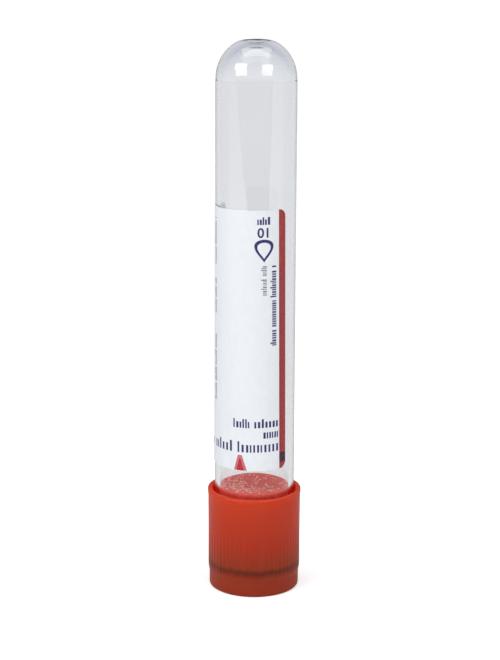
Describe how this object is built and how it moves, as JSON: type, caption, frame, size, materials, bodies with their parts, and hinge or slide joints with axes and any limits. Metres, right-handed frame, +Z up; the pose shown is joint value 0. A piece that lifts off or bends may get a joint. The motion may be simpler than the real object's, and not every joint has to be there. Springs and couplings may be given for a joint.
{
  "type": "blood collection tube",
  "caption": "Clear round-ended plastic tube with a white wrap label, closed by a rubber stopper in a ribbed red push-on shield and standing upside down on it.",
  "frame": {"origin": "centre of the closure's end face, on which the part stands", "axes": "+Z up the tube's axis towards its round end, -Y out through the label's front, +X towards the label's red-striped edge"},
  "size_m": [0.0188, 0.0188, 0.1099],
  "materials": {
    "tube_pet": "gloss",
    "stopper_rubber": "matte",
    "shield_polyethylene": "satin",
    "label_paper": "satin"
  },
  "bodies": {
    "closure": {"shield": "shield_polyethylene", "stopper": "stopper_rubber"},
    "labelled_tube": {"tube": "tube_pet", "label": "label_paper"}
  },
  "joints": [
    {"name": "closure_pull_off", "type": "slide", "parent": "closure", "child": "labelled_tube", "axis": [0, 0, 1], "range_m": [0, 0.03]}
  ]
}
